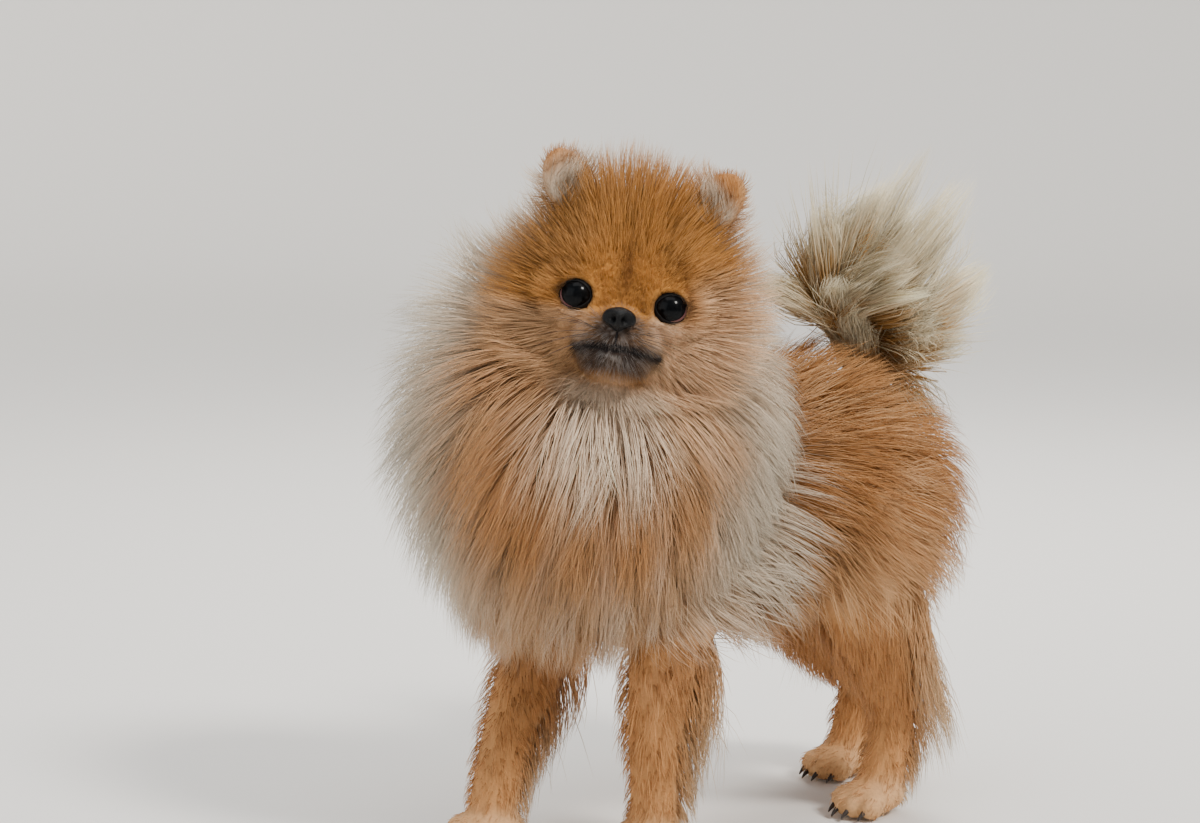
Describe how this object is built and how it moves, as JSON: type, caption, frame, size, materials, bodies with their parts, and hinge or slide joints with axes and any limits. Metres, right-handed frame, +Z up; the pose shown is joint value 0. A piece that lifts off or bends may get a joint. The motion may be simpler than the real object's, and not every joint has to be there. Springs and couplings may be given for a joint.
{
  "type": "standing pomeranian dog model",
  "caption": "Life-size still model of an orange sable Pomeranian in full coat, standing with its head turned to its left and its plume over its back.",
  "frame": {"origin": "on the floor, below the middle of the whole outline seen from above", "axes": "+Z up; the dog faces -Y and its left side is +X"},
  "size_m": [0.1956, 0.3624, 0.3488],
  "materials": {
    "orange_coat": "long soft outer coat, orange sable",
    "mane_coat": "long pale sand outer coat",
    "plume_coat": "long cream and grey outer coat",
    "nose_leather": "damp fine-grained leather",
    "eye": "wet gloss"
  },
  "bodies": {
    "root": {"head": "orange_coat", "ear_left": "orange_coat", "ear_right": "orange_coat", "eye_left": "eye", "eye_right": "eye", "nose": "nose_leather", "mane": "mane_coat", "torso": "orange_coat", "tail": "plume_coat", "front_left_leg": "orange_coat", "front_right_leg": "orange_coat", "rear_left_leg": "orange_coat", "rear_right_leg": "orange_coat", "front_left_paw": "orange_coat", "front_right_paw": "orange_coat", "rear_left_paw": "orange_coat", "rear_right_paw": "orange_coat"}
  },
  "joints": []
}
